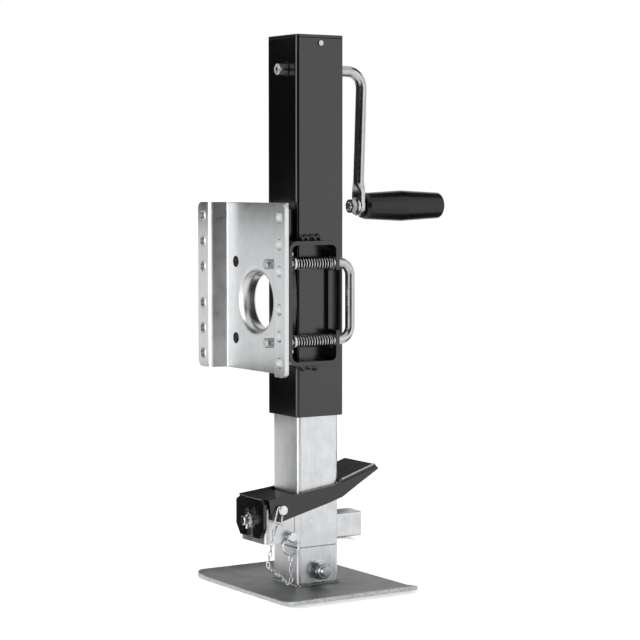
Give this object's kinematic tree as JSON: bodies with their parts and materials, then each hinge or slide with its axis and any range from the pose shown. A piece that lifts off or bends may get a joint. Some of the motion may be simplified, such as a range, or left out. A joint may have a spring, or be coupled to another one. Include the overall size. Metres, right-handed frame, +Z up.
{
  "type": "trailer prop stand",
  "caption": "Square-tube side-wind prop stand with a swivel bracket, crank, spring-pin handle, drop leg released by a foot pedal and a wide foot plate.",
  "frame": {"origin": "on the underside of the foot plate, on the vertical axis of the square tube", "axes": "+Z up along the tube; -X toward the mounting bracket, +X toward the crank's grip; -Y toward the locking handle"},
  "size_m": [0.2702, 0.222, 0.633],
  "materials": {
    "black_paint": "gloss",
    "zinc": "satin",
    "bright_steel": "gloss",
    "crank_chrome": "gloss",
    "plain_steel": "satin",
    "grip_plastic": "satin",
    "tread_grit": "matte"
  },
  "bodies": {
    "jack_tube": {"outer_tube": "black_paint", "top_cap": "black_paint", "cap_screws": "bright_steel", "mount_bracket": "zinc", "swivel_plate": "black_paint", "plate_spacers": "black_paint", "pin_frame": "black_paint", "frame_welds": "black_paint", "frame_washers": "bright_steel", "shaft_bushes": "black_paint", "bearing_plate": "plain_steel", "lower_race": "plain_steel", "thrust_rollers": "plain_steel"},
    "handle": {"pull_handle": "zinc", "handle_washers": "bright_steel", "handle_pins": "bright_steel", "lower_spring": "bright_steel", "upper_spring": "bright_steel"},
    "crank": {"crank_rod": "crank_chrome", "crank_pinion": "plain_steel", "shaft_collar": "plain_steel", "shaft_pins": "plain_steel", "grip_bolt": "bright_steel", "grip_nut": "bright_steel", "grip_washer": "bright_steel"},
    "grip": {"hand_grip": "grip_plastic"},
    "screw": {"lift_screw": "plain_steel", "bevel_gear": "plain_steel", "gear_pin": "plain_steel", "upper_race": "plain_steel"},
    "leg": {"leg_tube": "zinc", "leg_nut": "plain_steel", "drop_leg": "zinc", "foot_socket": "zinc", "foot_plate": "zinc", "socket_weld": "zinc", "foot_bolt": "bright_steel", "foot_nut": "bright_steel", "foot_washers": "bright_steel", "plunger_housing": "zinc", "housing_welds": "zinc", "pedal_pin": "bright_steel", "lock_pin": "bright_steel", "stop_tube": "zinc", "stop_clip": "zinc"},
    "pedal": {"foot_pedal": "black_paint", "pedal_tread": "tread_grit"},
    "plunger_rod": {"plunger": "bright_steel", "plunger_washer": "bright_steel", "plunger_cotter": "bright_steel", "plunger_spring": "bright_steel"}
  },
  "joints": [
    {"name": "crank_turn", "type": "hinge", "parent": "jack_tube", "child": "crank", "pos_m": [0, -0.007, 0.594], "axis": [1, 0, 0], "range_deg": [-7425, 33750]},
    {"name": "screw_turn", "type": "hinge", "parent": "jack_tube", "child": "screw", "pos_m": [0, -0.007, 0.5], "axis": [0, 0, 1], "range_deg": [-4951, 22501]},
    {"name": "leg_slide", "type": "slide", "parent": "jack_tube", "child": "leg", "axis": [0, 0, -1], "range_m": [-0.0551, 0.2501]},
    {"name": "grip_spin", "type": "hinge", "parent": "crank", "child": "grip", "pos_m": [0.128, -0.007, 0.439], "axis": [1, 0, 0], "continuous": true},
    {"name": "handle_pull", "type": "slide", "parent": "jack_tube", "child": "handle", "axis": [1, 0, 0], "range_m": [0, 0.022], "stiffness_N_per_m": 3000, "springref_m": -0.01, "deforming": ["lower_spring", "upper_spring"]},
    {"name": "pedal_press", "type": "hinge", "parent": "leg", "child": "pedal", "pos_m": [-0.053, 0, 0.0965], "axis": [0, 1, 0], "range_deg": [0, 22.5], "stiffness_Nm_per_rad": 8, "springref_deg": -14.32},
    {"name": "plunger_pull", "type": "slide", "parent": "leg", "child": "plunger_rod", "axis": [-1, 0, 0], "range_m": [0, 0.0118], "deforming": ["plunger_spring"]}
  ],
  "couplings": [
    {"joint": "screw_turn", "follows": "crank_turn", "ratio": 0.66667},
    {"joint": "leg_slide", "follows": "crank_turn", "m_per_rad": 0.00042441},
    {"joint": "plunger_pull", "follows": "pedal_press", "m_per_rad": 0.02693}
  ]
}
